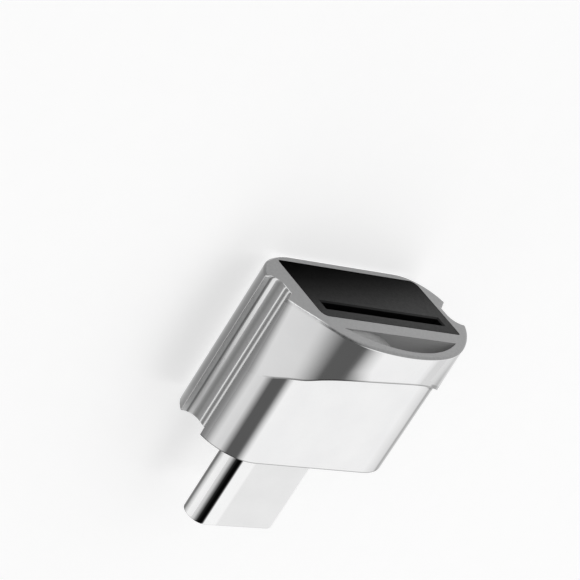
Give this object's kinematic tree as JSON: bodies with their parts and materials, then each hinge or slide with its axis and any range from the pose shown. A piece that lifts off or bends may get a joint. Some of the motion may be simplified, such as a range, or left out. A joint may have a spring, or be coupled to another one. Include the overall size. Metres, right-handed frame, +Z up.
{
  "type": "usb memory card reader",
  "caption": "Thumb-sized memory card reader: polished metal shell with a raised collar, a card slot at one end and a reversible plug at the other.",
  "frame": {"origin": "bottom centre of the whole reader, on the surface it lies on", "axes": "+Y from the card slot towards the plug's tip, +Z up from the flat back to the panelled front, +X to the side where the front face has its sharp edge"},
  "size_m": [0.0182, 0.0198, 0.0102],
  "materials": {
    "polished_zinc": "polished cast zinc, bright",
    "polished_steel": "polished stainless steel",
    "black_plastic": "moulded, satin",
    "insulator_plastic": "glass-filled, matte",
    "socket_plastic": "glass-filled, matte",
    "contact_gold": "gold plated",
    "spring_steel": "rolled, bare",
    "solder_tin": "tinned",
    "board_laminate": "glass and resin board with solder resist",
    "chip_resin": "moulded resin",
    "capacitor_ceramic": "fired, matte",
    "resistor_coating": "printed coating on ceramic",
    "amber_film": "thin polyimide film",
    "clear_glue": "hardened resin"
  },
  "bodies": {
    "root": {"outer_shell": "polished_zinc", "slot_bezel": "black_plastic", "circuit_board": "board_laminate", "plug_shell": "polished_steel", "plug_insulator": "insulator_plastic", "plug_terminal_holder": "insulator_plastic", "plug_contacts_upper": "contact_gold", "plug_contacts_lower": "contact_gold", "plug_latch_plate": "spring_steel", "plug_ground_spring_upper": "spring_steel", "plug_ground_spring_lower": "spring_steel", "plug_solder_joints": "solder_tin", "card_socket_base": "socket_plastic", "card_socket_contacts": "contact_gold", "card_socket_cover": "spring_steel", "card_detect_spring": "spring_steel", "controller_chip": "chip_resin", "controller_leads": "solder_tin", "capacitor_bodies": "capacitor_ceramic", "capacitor_end_caps": "solder_tin", "resistor_bodies": "resistor_coating", "resistor_end_caps": "solder_tin", "insulating_film": "amber_film", "sealing_glue": "clear_glue"}
  },
  "joints": []
}
